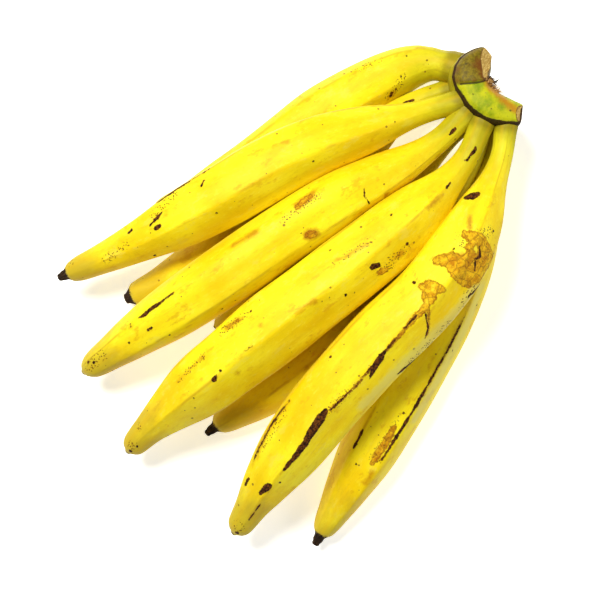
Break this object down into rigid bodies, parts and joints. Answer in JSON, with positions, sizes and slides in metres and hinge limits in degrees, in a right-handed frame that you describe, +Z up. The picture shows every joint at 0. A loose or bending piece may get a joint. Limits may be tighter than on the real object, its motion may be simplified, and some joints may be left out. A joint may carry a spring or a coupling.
{
  "type": "hand of plantains",
  "caption": "Hand of ripening plantains lying on its side, with long ridged fingers in two rows joined at a thick green crown.",
  "frame": {"origin": "middle of the underside of the whole hand's box, on the surface it lies on", "axes": "+Z up from the surface; +Y from the finger tips to the crown; +X across the fan of fingers"},
  "size_m": [0.2302, 0.318, 0.0771],
  "materials": {
    "peel": "smooth waxy yellow peel with brown marks",
    "crown": "satin green to brown, with dry fibrous cuts"
  },
  "bodies": {
    "root": {"crown": "crown", "upper_finger_1": "peel", "upper_finger_2": "peel", "upper_finger_3": "peel", "upper_finger_4": "peel", "lower_finger_1": "peel", "lower_finger_2": "peel", "lower_finger_3": "peel", "lower_finger_4": "peel", "lower_finger_5": "peel"}
  },
  "joints": []
}
